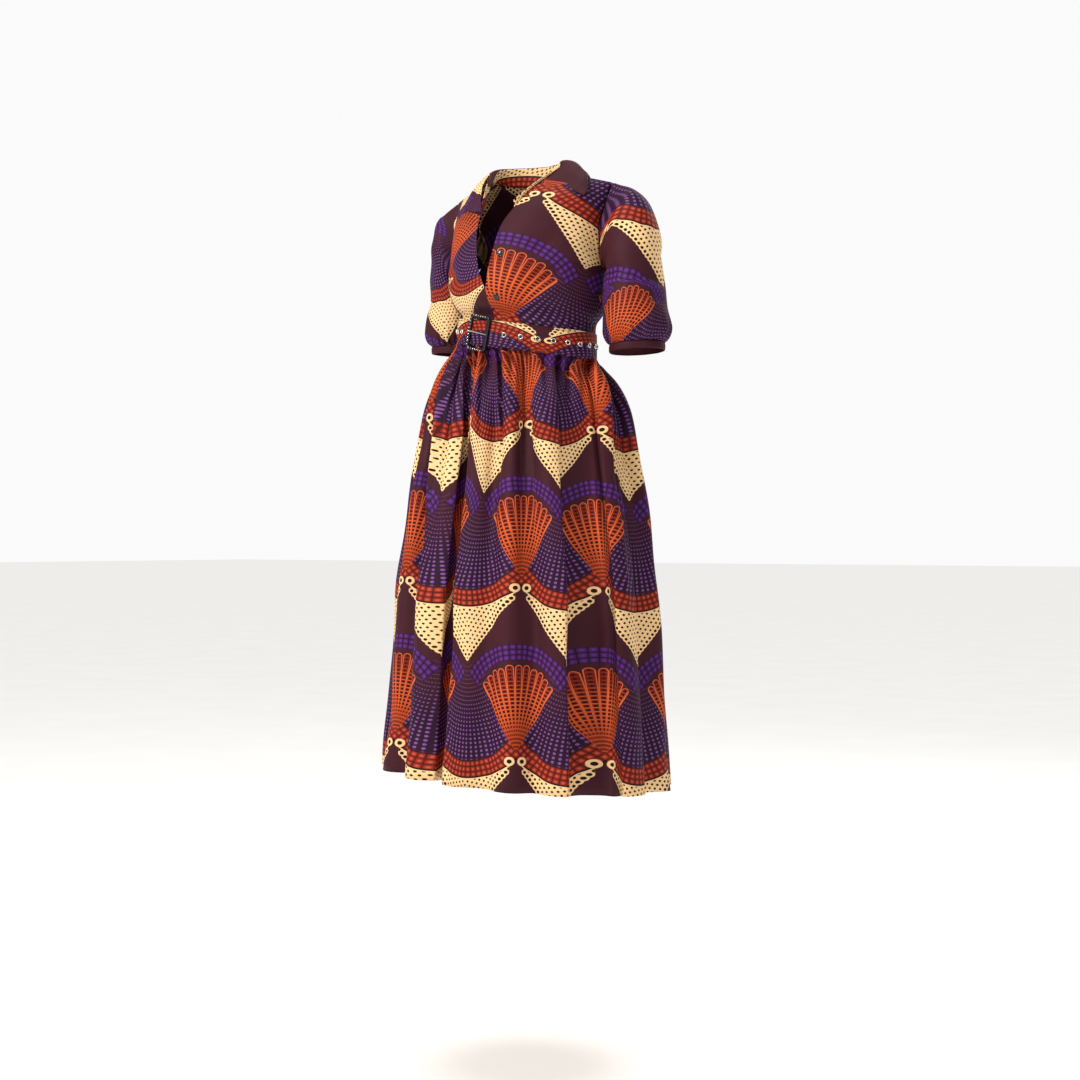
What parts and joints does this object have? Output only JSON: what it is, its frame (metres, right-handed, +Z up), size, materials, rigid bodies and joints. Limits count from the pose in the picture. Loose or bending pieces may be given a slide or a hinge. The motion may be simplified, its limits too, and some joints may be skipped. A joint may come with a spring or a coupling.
{
  "type": "belted shirt dress",
  "caption": "Hollow midi shirt dress in wax print cotton with spread collar, open V front, puffed elbow sleeves, eyelet belt with buckle and a full gathered skirt.",
  "frame": {"origin": "between the two shoulder seams, level with the side points of the neck, where the wearer's shoulders hold the dress", "axes": "+Z up, -Y to the wearer's front, +X to the wearer's left"},
  "size_m": [0.557, 0.507, 1.1351],
  "materials": {
    "wax_print_cotton": "plain woven cotton with a printed fan pattern and a light waxed sheen",
    "nickel": "plated, polished",
    "black_enamel": "glossy, near black"
  },
  "bodies": {
    "root": {"back": "wax_print_cotton", "belt": "wax_print_cotton", "buckle_frame": "black_enamel", "buckle_prong": "nickel", "button_cuff_left": "black_enamel", "button_cuff_right": "black_enamel", "button_front_1": "black_enamel", "button_front_2": "black_enamel", "collar_fall": "wax_print_cotton", "collar_stand": "wax_print_cotton", "cuff_left": "wax_print_cotton", "cuff_right": "wax_print_cotton", "eyelet_01": "nickel", "eyelet_02": "nickel", "eyelet_03": "nickel", "eyelet_04": "nickel", "eyelet_05": "nickel", "eyelet_06": "nickel", "eyelet_07": "nickel", "eyelet_08": "nickel", "eyelet_09": "nickel", "eyelet_10": "nickel", "eyelet_11": "nickel", "eyelet_12": "nickel", "eyelet_13": "nickel", "eyelet_14": "nickel", "eyelet_15": "nickel", "eyelet_16": "nickel", "eyelet_17": "nickel", "eyelet_18": "nickel", "eyelet_19": "nickel", "eyelet_20": "nickel", "eyelet_21": "nickel", "eyelet_22": "nickel", "eyelet_23": "nickel", "eyelet_24": "nickel", "eyelet_25": "nickel", "front_left": "wax_print_cotton", "front_right": "wax_print_cotton", "skirt_back": "wax_print_cotton", "skirt_front": "wax_print_cotton", "sleeve_left": "wax_print_cotton", "sleeve_right": "wax_print_cotton"}
  },
  "joints": []
}
